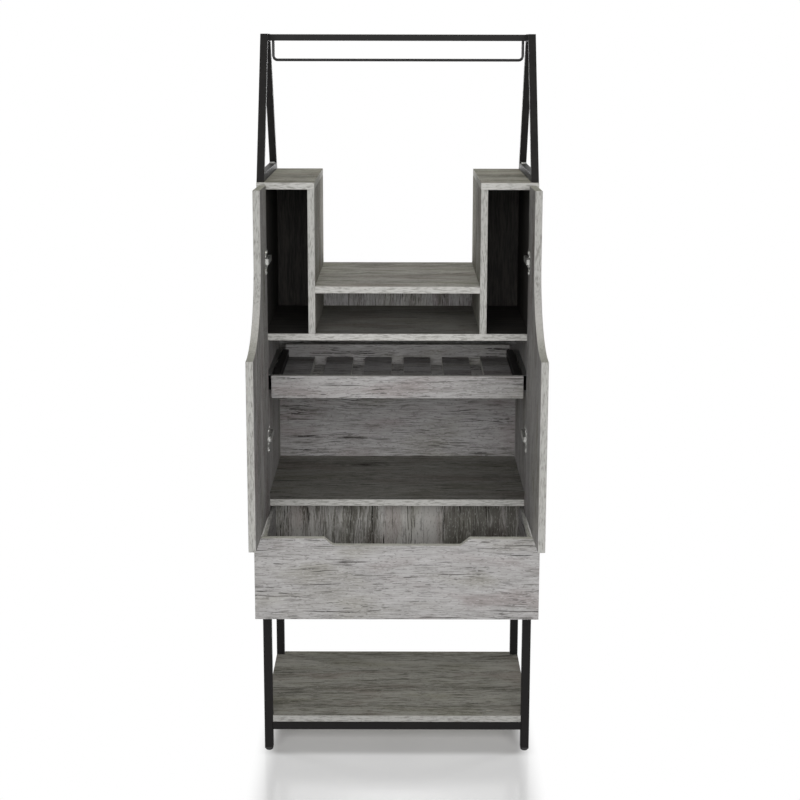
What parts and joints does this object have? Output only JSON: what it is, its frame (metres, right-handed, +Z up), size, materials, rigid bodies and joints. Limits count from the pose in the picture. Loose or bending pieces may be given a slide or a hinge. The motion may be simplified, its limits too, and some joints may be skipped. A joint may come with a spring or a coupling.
{
  "type": "wine cabinet",
  "caption": "Tall free-standing wine cabinet with flared doors, open notch and niche, sliding stemware tray and drawer, on a tube base with a low shelf, and a hanging rod on top.",
  "frame": {"origin": "on the floor under the middle of the case", "axes": "+Z up, +X to the right seen from the front, the front faces -Y"},
  "size_m": [0.6, 0.6861, 1.6],
  "materials": {
    "oak_across": "matt weathered grey oak laminate, grain across the width",
    "oak_deep": "matt weathered grey oak laminate, grain front to back",
    "oak_upright": "matt weathered grey oak laminate, upright grain",
    "black_steel": "satin black powder coat",
    "zinc_steel": "bright zinc-plated steel",
    "black_plastic": "matt black plastic",
    "beech": "plain beech"
  },
  "bodies": {
    "case": {"back_stretcher": "black_steel", "bottom_board": "oak_across", "cam_bolts": "zinc_steel", "cam_locks": "zinc_steel", "dowels": "beech", "drawer_shelf": "oak_across", "drawer_slide_rails": "zinc_steel", "foot_shelf": "oak_across", "frame_screws": "zinc_steel", "front_stretcher": "black_steel", "hanging_rod": "black_steel", "hinge_arms": "zinc_steel", "hinge_pins": "zinc_steel", "hinge_plates": "zinc_steel", "left_cubby_back": "oak_upright", "left_cubby_top": "oak_deep", "left_divider": "oak_upright", "left_leg_frame": "black_steel", "left_side_board": "oak_upright", "left_top_frame": "black_steel", "leg_plugs": "black_plastic", "lower_back": "oak_across", "middle_shelf": "oak_across", "niche_back": "oak_upright", "right_cubby_back": "oak_upright", "right_cubby_top": "oak_deep", "right_divider": "oak_upright", "right_leg_frame": "black_steel", "right_side_board": "oak_upright", "right_top_frame": "black_steel", "top_bar": "black_steel", "tray_slide_rails": "zinc_steel", "upper_shelf": "oak_across"},
    "left_door": {"left_door": "oak_upright", "left_hinge_cups": "zinc_steel"},
    "right_door": {"right_door": "oak_upright", "right_hinge_cups": "zinc_steel"},
    "tray": {"tray_front_rail": "oak_across", "tray_back_rail": "oak_across", "tray_left_side": "oak_deep", "tray_right_side": "oak_deep", "tray_slide_runners": "zinc_steel", "tray_slat_1": "oak_deep", "tray_slat_2": "oak_deep", "tray_slat_3": "oak_deep", "tray_slat_4": "oak_deep", "tray_slat_5": "oak_deep", "tray_slat_6": "oak_deep"},
    "tray_cages": {"tray_ball_cages": "zinc_steel"},
    "drawer": {"drawer_front": "oak_across", "drawer_left_side": "oak_deep", "drawer_right_side": "oak_deep", "drawer_back": "oak_upright", "drawer_bottom": "oak_across", "drawer_slide_runners": "zinc_steel"},
    "drawer_cages": {"drawer_ball_cages": "zinc_steel"},
    "foot_front_left": {"foot_front_left": "black_plastic"},
    "foot_front_right": {"foot_front_right": "black_plastic"},
    "foot_back_left": {"foot_back_left": "black_plastic"},
    "foot_back_right": {"foot_back_right": "black_plastic"}
  },
  "joints": [
    {"name": "left_door_hinge", "type": "hinge", "parent": "case", "child": "left_door", "pos_m": [-0.289, -0.206, 0.9275], "axis": [0, 0, -1], "range_deg": [-91, 14]},
    {"name": "right_door_hinge", "type": "hinge", "parent": "case", "child": "right_door", "pos_m": [0.289, -0.206, 0.9275], "axis": [0, 0, 1], "range_deg": [-91, 14]},
    {"name": "tray_slide", "type": "slide", "parent": "case", "child": "tray", "axis": [0, -1, 0], "range_m": [0, 0.202]},
    {"name": "tray_cage_slide", "type": "slide", "parent": "case", "child": "tray_cages", "axis": [0, -1, 0], "range_m": [0, 0.101]},
    {"name": "drawer_slide", "type": "slide", "parent": "case", "child": "drawer", "axis": [0, -1, 0], "range_m": [-0.18, 0.02]},
    {"name": "drawer_cage_slide", "type": "slide", "parent": "case", "child": "drawer_cages", "axis": [0, -1, 0], "range_m": [-0.09, 0.01]},
    {"name": "foot_front_left_turn", "type": "hinge", "parent": "case", "child": "foot_front_left", "pos_m": [-0.2905, -0.183, 0.003], "axis": [0, 0, 1], "continuous": true},
    {"name": "foot_front_right_turn", "type": "hinge", "parent": "case", "child": "foot_front_right", "pos_m": [0.2905, -0.183, 0.003], "axis": [0, 0, 1], "continuous": true},
    {"name": "foot_back_left_turn", "type": "hinge", "parent": "case", "child": "foot_back_left", "pos_m": [-0.2905, 0.183, 0.003], "axis": [0, 0, 1], "continuous": true},
    {"name": "foot_back_right_turn", "type": "hinge", "parent": "case", "child": "foot_back_right", "pos_m": [0.2905, 0.183, 0.003], "axis": [0, 0, 1], "continuous": true}
  ],
  "couplings": [
    {"joint": "tray_cage_slide", "follows": "tray_slide", "ratio": 0.5},
    {"joint": "drawer_cage_slide", "follows": "drawer_slide", "ratio": 0.5}
  ]
}
